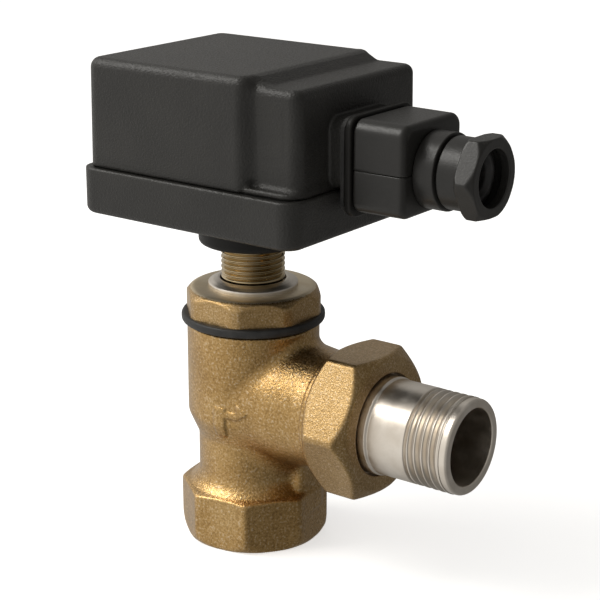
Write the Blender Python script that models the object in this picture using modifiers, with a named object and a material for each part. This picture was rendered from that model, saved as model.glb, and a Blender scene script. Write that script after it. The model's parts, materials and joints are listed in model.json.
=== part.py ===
"""Motorised angle valve: a cast brass angle valve with a linear electric actuator on its bonnet.

Frame: metres, +Z up along the valve spindle, +X towards the outlet and the electrical connector.
The origin is the middle of the bounding box's underside. Every x below is measured from the
spindle's axis, which lies at x = SPINDLE_X, and every z from the inlet's end face.
"""

import math

import bmesh
import bpy
from mathutils import Vector

MM = 0.001
GAP = 0.3 * MM                       # clearance between solids that touch on the real object
SLIVER = 0.004 * MM                  # edges shorter than this are left over from a cut

# Overall reach along X, which places the spindle in the frame
BOX_REACH_BACK = 28.9 * MM
NUT_REACH_FRONT = 60.7 * MM
SPINDLE_X = (BOX_REACH_BACK - NUT_REACH_FRONT) / 2

# Valve body
OUTLET_Z = 33.5 * MM
BODY_R = 14.8 * MM
NECK_R = 12.5 * MM
INLET_CORNER_R = 16.9 * MM
INLET_SIDES = 8
INLET_TURN = math.radians(-59.3)
INLET_BORE_R = 9.35 * MM
SEAT_BORE_R = 6.5 * MM
SEAT_Z = 20.9 * MM
CAVITY_R = 11.5 * MM
CAVITY_FLOOR_Z = 19.5 * MM
BODY_TOP_Z = 50.4 * MM
OUTLET_NECK_R = 13.2 * MM
OUTLET_BORE_R = 8.0 * MM
SPIGOT_END_X = 30.8 * MM

# Bonnet and threaded neck
BONNET_CORNER_R = 15.6 * MM
BONNET_LOW_Z = 53.0 * MM
BONNET_TOP_Z = 58.5 * MM
BONNET_TURN = math.radians(22.5)
BONNET_SHANK_R = 11.2 * MM
NECK_THREAD_R = 7.1 * MM
NECK_ROOT_R = 6.6 * MM
NECK_THREAD_PITCH = 1.25 * MM
NECK_LOW_Z = 46.0 * MM
NECK_TOP_Z = 73.5 * MM
SPINDLE_R = 2.0 * MM
STUD_R = 1.4 * MM
GUIDE_R = SPINDLE_R + GAP

# Union nut and tailpiece
UNION_CORNER_R = 17.3 * MM
UNION_REAR_X = 24.3 * MM
UNION_FRONT_X = 36.2 * MM
TAIL_THREAD_R = 10.48 * MM
TAIL_ROOT_R = 9.35 * MM
TAIL_THREAD_PITCH = 1.814 * MM
TAIL_BORE_R = 8.35 * MM
TAIL_END_X = 57.7 * MM

# Coupling under the actuator
COLLAR_R = 12.0 * MM
COLLAR_LOW_Z = 68.5 * MM
SPIGOT_R = 9.0 * MM
SPIGOT_BORE_R = 7.4 * MM

# Actuator casing
BASE_LOW = Vector((-28.9, -24.4, 75.6)) * MM
BASE_HIGH = Vector((29.1, 24.4, 85.8)) * MM
BASE_WALL = 3.2 * MM
BASE_FLOOR = 2.0 * MM
COVER_LOW_Z = 86.1 * MM
COVER_TOP_Z = 109.5 * MM
COVER_STEP_Z = 107.6 * MM
COVER_X = (-27.6 * MM, 27.9 * MM)
COVER_Y = 23.1 * MM
STEP_X = 16.0 * MM
STEP_FRONT_Y = -20.7 * MM
COVER_WALL = 2.4 * MM
SCREW_PLACES = ((-23.0, -18.5), (-23.0, 18.5), (23.2, -16.2), (23.2, 18.2))
SCREW_BOSS_R = 2.4 * MM

# Gear train: all spur gears of one module
MODULE = 0.5 * MM
PINION_TEETH = 12
WHEEL_TEETH = 30
OUTPUT_TEETH = 40
MOTOR_PLACE = (-12.5, 0.0)
GEAR_ONE_PLACE = (-16.86, 9.55)
GEAR_TWO_PLACE = (-6.5, 11.26)
AXLE_R = 1.0 * MM
SCREW_R = 3.6 * MM
PILLAR_PLACES = ((18.0, -14.0), (18.0, 14.0), (-21.0, -10.5))
PILLAR_TOPS = (95.7 * MM, 95.7 * MM, 92.7 * MM)
LOWER_PLATE_Z = (79.4 * MM, 80.6 * MM)
UPPER_PLATE_Z = (91.4 * MM, 92.6 * MM)

# Electrical connector
CONNECTOR_Z = 91.2 * MM
HOUSING_X = (34.3 * MM, 46.3 * MM)
HOUSING_Y = 10.9 * MM
HOUSING_Z = (82.1 * MM, 101.4 * MM)
HOUSING_WALL = 1.8 * MM
WINDOW_Y = 7.3 * MM
WINDOW_Z = (88.0 * MM, 98.4 * MM)
BLADES = {"blade_live": (-4.2, 93.4), "blade_neutral": (4.2, 93.4)}
EARTH_BLADE_Z = 90.2 * MM

COLOURS = {
    "cast_brass": ((0.42, 0.28, 0.12), 0.45, 1.0),
    "machined_brass": ((0.62, 0.43, 0.19), 0.3, 1.0),
    "nickel": ((0.62, 0.58, 0.52), 0.25, 1.0),
    "black_plastic": ((0.03, 0.03, 0.028), 0.5, 0.0),
    "black_rubber": ((0.012, 0.012, 0.012), 0.6, 0.0),
    "steel": ((0.55, 0.55, 0.56), 0.35, 1.0),
    "white_gear": ((0.75, 0.73, 0.66), 0.45, 0.0),
    "circuit_green": ((0.03, 0.2, 0.08), 0.5, 0.0),
    "switch_red": ((0.4, 0.05, 0.03), 0.4, 0.0),
    "motor_zinc": ((0.5, 0.5, 0.48), 0.4, 1.0),
}


# ---------------------------------------------------------------- scene and helpers

def clear_scene():
    for obj in list(bpy.data.objects):
        bpy.data.objects.remove(obj, do_unlink=True)


def make_collection(name):
    collection = bpy.data.collections.new(name)
    bpy.context.scene.collection.children.link(collection)
    return collection


def make_material(name):
    colour, roughness, metallic = COLOURS[name]
    material = bpy.data.materials.new(name)
    material.use_nodes = True
    shader = material.node_tree.nodes["Principled BSDF"]
    shader.inputs["Base Color"].default_value = (*colour, 1.0)
    shader.inputs["Roughness"].default_value = roughness
    shader.inputs["Metallic"].default_value = metallic
    return material


def put(name, mesh, look):
    """Link a mesh as a sub-part with its material, or as a hidden cutter when look is None."""
    obj = bpy.data.objects.new(name, mesh)
    if look is None:
        CUTTERS.objects.link(obj)
        obj.hide_render = True
        obj.display_type = "WIRE"
    else:
        PARTS.objects.link(obj)
        mesh.materials.append(MATERIALS[look])
    return obj


def put_bmesh(name, bm, look):
    mesh = bpy.data.meshes.new(name)
    bm.to_mesh(mesh)
    bm.free()
    return put(name, mesh, look)


def turned(name, look, profile, x=0.0, y=0.0, z=0.0, along_x=False, steps=28, hollow=False):
    """Turn (radius, height) pairs, which run down the outer side and, if hollow, back up inside.

    The height is measured along Z, or along X from the spindle when along_x is set.
    """
    bm = bmesh.new()
    points = [bm.verts.new((radius, 0, height)) for radius, height in profile]
    for first, second in zip(points, points[1:]):
        bm.edges.new((first, second))
    if hollow:
        bm.edges.new((points[-1], points[0]))
    obj = put_bmesh(name, bm, look)
    screw = obj.modifiers.new("turn", "SCREW")
    screw.steps = steps
    screw.render_steps = steps
    screw.use_merge_vertices = True
    screw.merge_threshold = 1e-6
    if along_x:
        obj.rotation_euler = (0, math.pi / 2, 0)
    obj.location = (SPINDLE_X + x, y, z)
    return obj


def ring(name, look, outer, inner, low, high, **place):
    profile = [(outer, high), (outer, low), (inner, low), (inner, high)]
    return turned(name, look, profile, hollow=True, **place)


def rod(name, look, radius, low, high, **place):
    return turned(name, look, [(0, high), (radius, high), (radius, low), (0, low)], **place)


def prism(name, look, sides, corner_r, low, high, turn=0.0, along_x=False, z=0.0):
    """A regular prism with a corner turned from +X, or a corner at +Y when it lies along X."""
    bm = bmesh.new()
    bmesh.ops.create_cone(bm, cap_ends=True, segments=sides, radius1=corner_r, radius2=corner_r,
                          depth=high - low)
    obj = put_bmesh(name, bm, look)
    middle = (low + high) / 2
    if along_x:
        obj.rotation_euler = (0, math.pi / 2, 0)
        obj.location = (SPINDLE_X + middle, 0, z)
    else:
        obj.rotation_euler = (0, 0, turn + math.pi / 2)
        obj.location = (SPINDLE_X, 0, middle)
    return obj


def edges_along(bm, axis):
    return [e for e in bm.edges if abs((e.verts[0].co - e.verts[1].co).normalized()[axis]) > 0.9]


def rim_edges(bm, axis, value):
    return [e for e in bm.edges if all(abs(v.co[axis] - value) < 1e-7 for v in e.verts)]


def bevel(bm, edges, width, segments):
    bmesh.ops.bevel(bm, geom=edges, offset=width, offset_type="OFFSET", segments=segments,
                    profile=0.5, affect="EDGES")


def block(name, look, low, high, corner=0.0, axis=2, top_rim=0.0, low_rim=0.0, draft=0.0,
          segments=4):
    """A box from low to high, with its edges along the axis and its two rims rounded."""
    low = Vector(low)
    high = Vector(high)
    bm = bmesh.new()
    bmesh.ops.create_cube(bm, size=1.0)
    bmesh.ops.scale(bm, vec=high - low, verts=bm.verts)
    bmesh.ops.translate(bm, vec=(high + low) / 2, verts=bm.verts)
    if draft:
        for vert in bm.verts:
            if vert.co[2] > (low[2] + high[2]) / 2:
                vert.co[0] -= math.copysign(draft, vert.co[0] - (low[0] + high[0]) / 2)
                vert.co[1] -= math.copysign(draft, vert.co[1] - (low[1] + high[1]) / 2)
    if corner:
        bevel(bm, edges_along(bm, axis), corner, segments)
    if top_rim:
        bevel(bm, rim_edges(bm, axis, high[axis]), top_rim, 3)
    if low_rim:
        bevel(bm, rim_edges(bm, axis, low[axis]), low_rim, 3)
    obj = put_bmesh(name, bm, look)
    obj.location = (SPINDLE_X, 0, 0)
    return obj


def rounded_rectangle(low_x, high_x, low_y, high_y, radius, steps=3):
    corners = ((high_x - radius, high_y - radius, 0), (low_x + radius, high_y - radius, 90),
               (low_x + radius, low_y + radius, 180), (high_x - radius, low_y + radius, 270))
    points = []
    for centre_x, centre_y, start in corners:
        for step in range(steps + 1):
            angle = math.radians(start + 90 * step / steps)
            points.append((centre_x + radius * math.cos(angle), centre_y + radius * math.sin(angle)))
    return points


def circle(radius, x=0.0, y=0.0, steps=20):
    angles = [2 * math.pi * step / steps for step in range(steps)]
    return [(x + radius * math.cos(a), y + radius * math.sin(a)) for a in angles]


def curve_to_mesh(curve_object, look):
    """Swap a curve for its closed mesh, with the loose caps welded on."""
    name = curve_object.name
    bpy.context.view_layer.update()
    evaluated = curve_object.evaluated_get(bpy.context.evaluated_depsgraph_get())
    mesh = bpy.data.meshes.new_from_object(evaluated)
    bm = bmesh.new()
    bm.from_mesh(mesh)
    bmesh.ops.remove_doubles(bm, verts=bm.verts, dist=1e-6)
    bmesh.ops.recalc_face_normals(bm, faces=bm.faces)
    bm.to_mesh(mesh)
    bm.free()
    mesh.materials.clear()
    place = curve_object.matrix_world.copy()
    bpy.data.objects.remove(curve_object)
    obj = put(name, mesh, look)
    obj.matrix_world = place
    return obj


def plate(name, look, outline, holes, low, high, x=0.0, y=0.0):
    """A flat outline with holes, as a filled 2-D curve as thick as low to high."""
    curve = bpy.data.curves.new(name, "CURVE")
    curve.dimensions = "2D"
    curve.fill_mode = "BOTH"
    curve.extrude = (high - low) / 2
    for loop in [outline, *holes]:
        spline = curve.splines.new("POLY")
        spline.points.add(len(loop) - 1)
        for point, (point_x, point_y) in zip(spline.points, loop):
            point.co = (point_x, point_y, 0, 1)
        spline.use_cyclic_u = True
    obj = bpy.data.objects.new(name, curve)
    CUTTERS.objects.link(obj)
    obj.location = (SPINDLE_X + x, y, (low + high) / 2)
    return curve_to_mesh(obj, look)


def wire(name, look, points, radius, resolution=2, cyclic=False):
    """A round wire along points given from the spindle's axis."""
    curve = bpy.data.curves.new(name, "CURVE")
    curve.dimensions = "3D"
    curve.bevel_depth = radius
    curve.bevel_resolution = resolution
    curve.use_fill_caps = True
    spline = curve.splines.new("POLY")
    spline.points.add(len(points) - 1)
    for point, place in zip(spline.points, points):
        point.co = (*place, 1)
    spline.use_cyclic_u = cyclic
    obj = bpy.data.objects.new(name, curve)
    CUTTERS.objects.link(obj)
    obj.location = (SPINDLE_X, 0, 0)
    return curve_to_mesh(obj, look)


def combine(obj, operation, tool):
    boolean = obj.modifiers.new(tool.name, "BOOLEAN")
    boolean.operation = operation
    boolean.solver = "EXACT"
    boolean.object = tool


def threaded(crest, root, low, high, pitch):
    """Profile of a thread's ridges, from the top down: one crest and one root a turn."""
    turns = int((high - low) / pitch)
    points = []
    for turn in range(turns):
        top = high - turn * pitch
        points.append((root, top))
        points.append((crest, top - 0.5 * pitch))
    points.append((root, high - turns * pitch))
    return points


def finish_parts():
    """Keep each part's modelled shape as its mesh, smooth except at its real edges."""
    bpy.context.view_layer.update()
    graph = bpy.context.evaluated_depsgraph_get()
    shapes = {obj: bpy.data.meshes.new_from_object(obj.evaluated_get(graph)) for obj in PARTS.objects}
    for obj, mesh in shapes.items():
        obj.modifiers.clear()
        obj.data = mesh
        drop_slivers(mesh)
        mesh.shade_smooth()
        mesh.set_sharp_from_angle(angle=math.radians(32))


def drop_slivers(mesh):
    bm = bmesh.new()
    bm.from_mesh(mesh)
    bmesh.ops.remove_doubles(bm, verts=bm.verts, dist=SLIVER)
    bmesh.ops.dissolve_degenerate(bm, edges=bm.edges, dist=SLIVER)
    bm.to_mesh(mesh)
    bm.free()


# ---------------------------------------------------------------- the valve

def make_valve_body():
    """Angle body: octagonal inlet below, neck and chamber above, outlet spigot along +X."""
    body = turned("valve_body", "cast_brass", [
        (0, BODY_TOP_Z), (14.3 * MM, BODY_TOP_Z), (BODY_R, 49.9 * MM), (BODY_R, 29.6 * MM),
        (13.5 * MM, 26.6 * MM), (NECK_R, 24.3 * MM), (NECK_R, 8.0 * MM), (0, 8.0 * MM)], steps=32)
    inlet = prism("cut_inlet_octagon", None, INLET_SIDES, INLET_CORNER_R, -2 * MM, 20 * MM,
                  turn=INLET_TURN)
    inlet_envelope = turned("cut_inlet_envelope", None, [
        (0, 16.9 * MM), (NECK_R - 0.2 * MM, 16.9 * MM), (13.3 * MM, 15.1 * MM),
        (16.6 * MM, 12.0 * MM), (17.3 * MM, 10.6 * MM), (17.3 * MM, 3.4 * MM), (16.7 * MM, 1.2 * MM),
        (15.6 * MM, 0), (0, 0)], steps=32)
    combine(inlet, "INTERSECT", inlet_envelope)
    combine(body, "UNION", inlet)
    outlet = turned("cut_outlet_neck", None, [
        (0, SPIGOT_END_X), (12.8 * MM, SPIGOT_END_X), (13.2 * MM, 30.4 * MM), (13.2 * MM, 23.6 * MM),
        (OUTLET_NECK_R, 20 * MM), (14.2 * MM, 14.5 * MM), (14.2 * MM, 3 * MM), (0, 3 * MM)],
        z=OUTLET_Z, along_x=True, steps=28)
    combine(body, "UNION", outlet)
    web = block("cut_outlet_web", None, (5 * MM, -2.0 * MM, 9 * MM), (15.4 * MM, 9.0 * MM, 24 * MM))
    combine(body, "UNION", web)
    for cutter in body_hollows():
        combine(body, "DIFFERENCE", cutter)


def body_hollows():
    """Chamber above the raised seat with the inlet socket below it, and the outlet bore."""
    chamber_and_inlet = turned("cut_chamber_and_inlet", None, [
        (0, 52 * MM), (CAVITY_R, 52 * MM), (CAVITY_R, CAVITY_FLOOR_Z),
        (SEAT_BORE_R + 1.6 * MM, CAVITY_FLOOR_Z), (SEAT_BORE_R + 1.2 * MM, SEAT_Z),
        (SEAT_BORE_R, SEAT_Z), (SEAT_BORE_R, 13.6 * MM), (INLET_BORE_R, 12.2 * MM),
        (INLET_BORE_R, 1.0 * MM), (10.5 * MM, -1 * MM), (0, -1 * MM)], steps=30)
    outlet_bore = rod("cut_outlet_bore", None, OUTLET_BORE_R, 6 * MM, 32 * MM, z=OUTLET_Z,
                      along_x=True)
    return chamber_and_inlet, outlet_bore


def make_bonnet():
    bonnet = prism("bonnet", "machined_brass", 8, BONNET_CORNER_R, BONNET_LOW_Z, BONNET_TOP_Z,
                   turn=BONNET_TURN)
    envelope = turned("cut_bonnet_envelope", None, [
        (0, BONNET_TOP_Z), (14.0 * MM, BONNET_TOP_Z), (15.7 * MM, 57.1 * MM),
        (15.7 * MM, BONNET_LOW_Z), (0, BONNET_LOW_Z)], steps=40)
    shank = rod("cut_bonnet_shank", None, BONNET_SHANK_R, 44.6 * MM, BONNET_LOW_Z + 1 * MM)
    bore = rod("cut_bonnet_bore", None, NECK_ROOT_R + GAP, 40 * MM, 60 * MM)
    combine(bonnet, "INTERSECT", envelope)
    combine(bonnet, "UNION", shank)
    combine(bonnet, "DIFFERENCE", bore)
    turned("bonnet_gasket", "black_rubber", [
        (15.3 * MM, 52.7 * MM), (15.8 * MM, 52.2 * MM), (15.8 * MM, 51.2 * MM),
        (15.3 * MM, 50.7 * MM), (BONNET_SHANK_R + GAP, 50.7 * MM), (BONNET_SHANK_R + GAP, 52.7 * MM)],
        hollow=True, steps=36)


def make_threaded_neck():
    """Hollow neck: spring chamber below, spindle guide, and packing chamber at the top."""
    outer = [(NECK_ROOT_R, NECK_TOP_Z)]
    outer += threaded(NECK_THREAD_R, NECK_ROOT_R, 60.9 * MM, 73.3 * MM, NECK_THREAD_PITCH)
    outer += [(NECK_ROOT_R, NECK_LOW_Z)]
    inner = [(5.0 * MM, NECK_LOW_Z), (5.0 * MM, 62.4 * MM), (GUIDE_R, 62.4 * MM),
             (GUIDE_R, 66.0 * MM), (4.0 * MM, 66.0 * MM), (4.0 * MM, NECK_TOP_Z)]
    turned("threaded_neck", "nickel", outer + inner, hollow=True, steps=22)
    turned("lock_ring", "nickel", [
        (8.4 * MM, 60.3 * MM), (9.9 * MM, 59.5 * MM), (9.9 * MM, 58.8 * MM),
        (NECK_THREAD_R + GAP, 58.8 * MM), (NECK_THREAD_R + GAP, 60.3 * MM)], hollow=True, steps=32)
    ring("guide_bush", "machined_brass", 4.7 * MM, GUIDE_R, 46.3 * MM, 48.5 * MM, steps=28)
    for name, low in (("spindle_o_ring_lower", 66.3 * MM), ("spindle_o_ring_upper", 68.6 * MM)):
        make_o_ring(name, GUIDE_R, 3.7 * MM, low, low + 1.7 * MM)
    ring("packing_nut", "machined_brass", 3.7 * MM, GUIDE_R, 70.7 * MM, 73.2 * MM, steps=28)


def make_o_ring(name, inner, outer, low, high):
    middle_r = (inner + outer) / 2
    middle_z = (low + high) / 2
    half = (outer - inner) / 2
    angles = [math.radians(90 - 60 * step) for step in range(6)]
    profile = [(middle_r + half * math.cos(a), middle_z + (high - low) / 2 * math.sin(a)) for a in angles]
    turned(name, "black_rubber", profile, hollow=True, steps=20)


def make_spindle():
    """Spindle with its plug, seat disc and nut below, and the spring's collar half way up."""
    turned("valve_spindle", "steel", [
        (0, 76.0 * MM), (1.5 * MM, 76.0 * MM), (SPINDLE_R, 75.4 * MM), (SPINDLE_R, 30.3 * MM),
        (STUD_R, 30.3 * MM), (STUD_R, 22.2 * MM), (0, 22.2 * MM)], steps=24)
    turned("plug_holder", "machined_brass", [
        (3.4 * MM, 30.0 * MM), (3.4 * MM, 29.0 * MM), (8.6 * MM, 28.6 * MM), (8.6 * MM, 26.5 * MM),
        (STUD_R + GAP, 26.5 * MM), (STUD_R + GAP, 30.0 * MM)], hollow=True)
    ring("seat_disc", "black_rubber", 8.2 * MM, STUD_R + GAP, 24.2 * MM, 26.2 * MM)
    nut = prism("disc_nut", "machined_brass", 6, 3.3 * MM, 22.5 * MM, 23.9 * MM)
    hole = rod("cut_disc_nut_hole", None, STUD_R + GAP, 20 * MM, 26 * MM)
    combine(nut, "DIFFERENCE", hole)
    turned("spring_collar", "machined_brass", [
        (4.5 * MM, 62.0 * MM), (4.5 * MM, 60.9 * MM), (3.2 * MM, 60.9 * MM), (3.2 * MM, 59.6 * MM),
        (GUIDE_R, 59.6 * MM), (GUIDE_R, 62.0 * MM)], hollow=True, steps=20)


def make_return_spring():
    low = 49.3 * MM
    high = 60.1 * MM
    coil_r = 4.1 * MM
    turns = 5
    count = turns * 11
    points = []
    for step in range(count + 1):
        angle = 2 * math.pi * turns * step / count
        height = low + (high - low) * step / count
        points.append((coil_r * math.cos(angle), coil_r * math.sin(angle), height))
    wire("return_spring", "steel", points, 0.4 * MM, resolution=1)


def make_union():
    """Union nut, its flat seal, and the tailpiece that the nut holds by its flange."""
    nut = prism("union_nut", "cast_brass", 6, UNION_CORNER_R, UNION_REAR_X, UNION_FRONT_X,
                along_x=True, z=OUTLET_Z)
    envelope = turned("cut_union_envelope", None, [
        (0, UNION_FRONT_X), (14.4 * MM, UNION_FRONT_X), (17.4 * MM, 33.8 * MM),
        (17.4 * MM, 26.2 * MM), (14.6 * MM, UNION_REAR_X), (0, UNION_REAR_X)],
        z=OUTLET_Z, along_x=True, steps=36)
    bore = turned("cut_union_bore", None, [
        (0, 38 * MM), (11.9 * MM, 38 * MM), (11.9 * MM, 34.5 * MM), (13.5 * MM, 34.5 * MM),
        (13.5 * MM, 23 * MM), (0, 23 * MM)], z=OUTLET_Z, along_x=True, steps=32)
    combine(nut, "INTERSECT", envelope)
    combine(nut, "DIFFERENCE", bore)
    ring("union_seal", "black_rubber", 12.6 * MM, 8.8 * MM, 31.1 * MM, 32.3 * MM, z=OUTLET_Z,
         along_x=True)
    outer = [(9.5 * MM, TAIL_END_X)]
    outer += threaded(TAIL_THREAD_R, TAIL_ROOT_R, 47.5 * MM, 57.1 * MM, TAIL_THREAD_PITCH)
    outer += [(TAIL_ROOT_R, 47.4 * MM), (10.1 * MM, 47.0 * MM), (10.1 * MM, 38.6 * MM),
              (10.65 * MM, 38.0 * MM), (10.65 * MM, 34.2 * MM), (12.9 * MM, 34.2 * MM),
              (12.9 * MM, 32.6 * MM)]
    inner = [(TAIL_BORE_R, 32.6 * MM), (TAIL_BORE_R, 57.0 * MM), (8.9 * MM, TAIL_END_X)]
    turned("tailpiece", "nickel", outer + inner, z=OUTLET_Z, along_x=True, hollow=True, steps=32)


# ---------------------------------------------------------------- the coupling and the casing

def make_coupling():
    """Collar that screws on the neck, and the wire clip that keeps it on the base's spigot."""
    turned("coupling_collar", "black_plastic", [
        (11.4 * MM, 75.3 * MM), (COLLAR_R, 74.8 * MM), (COLLAR_R, 69.3 * MM), (11.2 * MM, COLLAR_LOW_Z),
        (NECK_THREAD_R + GAP, COLLAR_LOW_Z), (NECK_THREAD_R + GAP, 70.1 * MM), (9.3 * MM, 70.1 * MM),
        (9.3 * MM, 71.8 * MM), (10.0 * MM, 71.8 * MM), (10.0 * MM, 73.0 * MM), (9.3 * MM, 73.0 * MM),
        (9.3 * MM, 75.3 * MM)], hollow=True, steps=28)
    clip_r = 9.15 * MM
    angles = [math.radians(20 + 320 * step / 24) for step in range(25)]
    points = [(clip_r * math.cos(a), clip_r * math.sin(a), 72.4 * MM) for a in angles]
    wire("collar_clip", "steel", points, 0.4 * MM, resolution=1)


def rim_outline(inset, radius):
    return rounded_rectangle(BASE_LOW.x + inset, BASE_HIGH.x - inset, BASE_LOW.y + inset,
                             BASE_HIGH.y - inset, radius)


def make_base_tray():
    """Open tray: spigot under its middle, screw posts in its corners, seal groove in its rim."""
    tray = block("base_tray", "black_plastic", BASE_LOW, BASE_HIGH, corner=4.2 * MM,
                 low_rim=1.8 * MM, segments=3)
    floor_z = BASE_LOW.z + BASE_FLOOR
    hollow = block("cut_tray_hollow", None,
                   (BASE_LOW.x + BASE_WALL, BASE_LOW.y + BASE_WALL, floor_z),
                   (BASE_HIGH.x - BASE_WALL, BASE_HIGH.y - BASE_WALL, 90 * MM), corner=1.5 * MM,
                   segments=2)
    combine(tray, "DIFFERENCE", hollow)
    groove = plate("cut_seal_groove", None, rim_outline(1.3 * MM, 3.0 * MM),
                   [rim_outline(2.6 * MM, 1.8 * MM)], 84.6 * MM, 87 * MM)
    combine(tray, "DIFFERENCE", groove)
    spigot = ring("cut_tray_spigot", None, SPIGOT_R, SPIGOT_BORE_R, 70.5 * MM, 76.6 * MM)
    combine(tray, "UNION", spigot)
    clip_groove = ring("cut_clip_groove", None, SPIGOT_R + 1 * MM, 8.3 * MM, 71.8 * MM, 73.0 * MM)
    combine(tray, "DIFFERENCE", clip_groove)
    middle_hole = rod("cut_tray_hole", None, SCREW_R + 0.4 * MM, 74 * MM, 79 * MM)
    combine(tray, "DIFFERENCE", middle_hole)
    for index, (x, y) in enumerate(SCREW_PLACES):
        place = {"x": x * MM, "y": y * MM, "steps": 12}
        post = rod(f"cut_tray_post_{index}", None, SCREW_BOSS_R, 76.5 * MM, 80.2 * MM, **place)
        hole = turned(f"cut_tray_screw_{index}", None, [
            (0, 82 * MM), (1.4 * MM, 82 * MM), (1.4 * MM, 76.9 * MM), (2.5 * MM, 76.9 * MM),
            (2.5 * MM, 75 * MM), (0, 75 * MM)], **place)
        combine(tray, "UNION", post)
        combine(tray, "DIFFERENCE", hole)
    for index, (x, y) in enumerate(PILLAR_PLACES):
        foot = rod(f"cut_tray_foot_{index}", None, 2.4 * MM, floor_z - 1 * MM, 79.1 * MM, x=x * MM,
                   y=y * MM, steps=12)
        combine(tray, "UNION", foot)


def make_cover():
    """Cover shell: a high part, a lower and narrower end at +X, a connector boss, screw bosses."""
    high_part = ((COVER_X[0], -COVER_Y, COVER_LOW_Z), (STEP_X, COVER_Y, COVER_TOP_Z))
    low_part = ((STEP_X - 8 * MM, STEP_FRONT_Y, COVER_LOW_Z), (COVER_X[1], 22.8 * MM, COVER_STEP_Z))
    cover = block("cover", "black_plastic", *high_part, corner=3.4 * MM, top_rim=1.8 * MM,
                  draft=0.4 * MM, segments=5)
    low_end = block("cut_cover_low_end", None, *low_part, corner=2.6 * MM, top_rim=1.6 * MM,
                    draft=0.3 * MM, segments=5)
    ramp = make_cover_ramp()
    boss = block("cut_cover_boss", None, (26 * MM, -10.2 * MM, COVER_LOW_Z),
                 (31.1 * MM, 10.2 * MM, 101.0 * MM), corner=2.8 * MM, axis=0)
    for tool in (low_end, ramp, boss):
        combine(cover, "UNION", tool)
    for name, (low, high), corner in (("cut_cover_high_hollow", high_part, 1.6 * MM),
                                      ("cut_cover_low_hollow", low_part, 1.2 * MM)):
        wall = Vector((COVER_WALL, COVER_WALL, COVER_WALL))
        hollow_low = Vector(low) + Vector((COVER_WALL, COVER_WALL, -2 * MM))
        hollow = block(name, None, hollow_low, Vector(high) - wall, corner=corner, segments=2)
        combine(cover, "DIFFERENCE", hollow)
    window = block("cut_cover_window", None, (20 * MM, -WINDOW_Y, WINDOW_Z[0]),
                   (33 * MM, WINDOW_Y, WINDOW_Z[1]), corner=0.8 * MM, axis=0, segments=2)
    combine(cover, "DIFFERENCE", window)
    for index, (x, y) in enumerate(SCREW_PLACES):
        place = {"x": x * MM, "y": y * MM, "steps": 12}
        boss = rod(f"cut_cover_boss_{index}", None, SCREW_BOSS_R, 80.6 * MM, 106.5 * MM, **place)
        hole = rod(f"cut_cover_pilot_{index}", None, 1.4 * MM, 79 * MM, 92 * MM, **place)
        combine(cover, "UNION", boss)
        combine(cover, "DIFFERENCE", hole)


def make_cover_ramp():
    """Short slope on the top, from the high part's roof down to the low end's."""
    ramp = block("cut_cover_ramp", None, (12 * MM, -18 * MM, 104 * MM),
                 (19.5 * MM, 20.5 * MM, COVER_TOP_Z - 0.1 * MM))
    for vert in ramp.data.vertices:
        if vert.co.z > 105 * MM and vert.co.x > 15 * MM:
            vert.co.x = 15.5 * MM
        elif vert.co.x > 15 * MM:
            vert.co.x = 21.5 * MM
            vert.co.z = COVER_STEP_Z - 1.0 * MM
    return ramp


def make_casing_seal_and_screws():
    plate("cover_gasket", "black_rubber", rim_outline(1.6 * MM, 2.7 * MM),
          [rim_outline(2.3 * MM, 2.1 * MM)], 84.9 * MM, 85.8 * MM)
    for index, (x, y) in enumerate(SCREW_PLACES):
        turned(f"cover_screw_{index + 1}", "steel", [
            (0, 90.0 * MM), (0.7 * MM, 90.0 * MM), (1.1 * MM, 89.3 * MM), (1.1 * MM, 76.6 * MM),
            (2.1 * MM, 76.6 * MM), (2.1 * MM, 75.8 * MM), (1.0 * MM, 75.8 * MM),
            (0.7 * MM, 76.2 * MM), (0, 76.2 * MM)], x=x * MM, y=y * MM, steps=12)


# ---------------------------------------------------------------- the drive

def plate_outline():
    """Frame plate: a rectangle whose corners are cut off to clear the cover's screw bosses."""
    x = 24.4 * MM
    y = 17.9 * MM
    cut = 6.8 * MM
    return [(x, -y + cut), (x, y - cut), (x - cut, y), (-x + cut, y), (-x, y - cut), (-x, -y + cut),
            (-x + cut, -y), (x - cut, -y)]


def make_frame():
    """Two plates held apart by pillars, with the axles and the guide pin between them."""
    pins = [circle(AXLE_R + GAP, x * MM, y * MM, 12) for x, y in (GEAR_ONE_PLACE, GEAR_TWO_PLACE)]
    guide_hole = circle(1.5 * MM, 13.5 * MM, 0, 12)
    pillar_holes = [circle(2.1 * MM, x * MM, y * MM, 12) for x, y in PILLAR_PLACES]
    motor_hole = circle(4.6 * MM, MOTOR_PLACE[0] * MM, MOTOR_PLACE[1] * MM, 24)
    plate("lower_plate", "steel", plate_outline(),
          [circle(4.2 * MM), guide_hole, *pins], *LOWER_PLATE_Z)
    plate("upper_plate", "steel", plate_outline(),
          [circle(5.0 * MM, steps=28), guide_hole, motor_hole, *pins, *pillar_holes], *UPPER_PLATE_Z)
    for index, ((x, y), top) in enumerate(zip(PILLAR_PLACES, PILLAR_TOPS)):
        turned(f"pillar_{index + 1}", "steel", [
            (0, top), (1.8 * MM, top), (1.8 * MM, 91.1 * MM), (2.4 * MM, 91.1 * MM),
            (2.4 * MM, 80.9 * MM), (0, 80.9 * MM)], x=x * MM, y=y * MM, steps=16)
    for name, (x, y) in (("gear_axle_1", GEAR_ONE_PLACE), ("gear_axle_2", GEAR_TWO_PLACE)):
        rod(name, "steel", AXLE_R, 79.6 * MM, 92.4 * MM, x=x * MM, y=y * MM, steps=16)
    rod("guide_pin", "steel", 1.2 * MM, 79.6 * MM, 92.4 * MM, x=13.5 * MM, steps=16)
    ring("thrust_washer", "machined_brass", 7.5 * MM, 5.2 * MM, 90.6 * MM, 91.1 * MM, steps=28)


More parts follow.
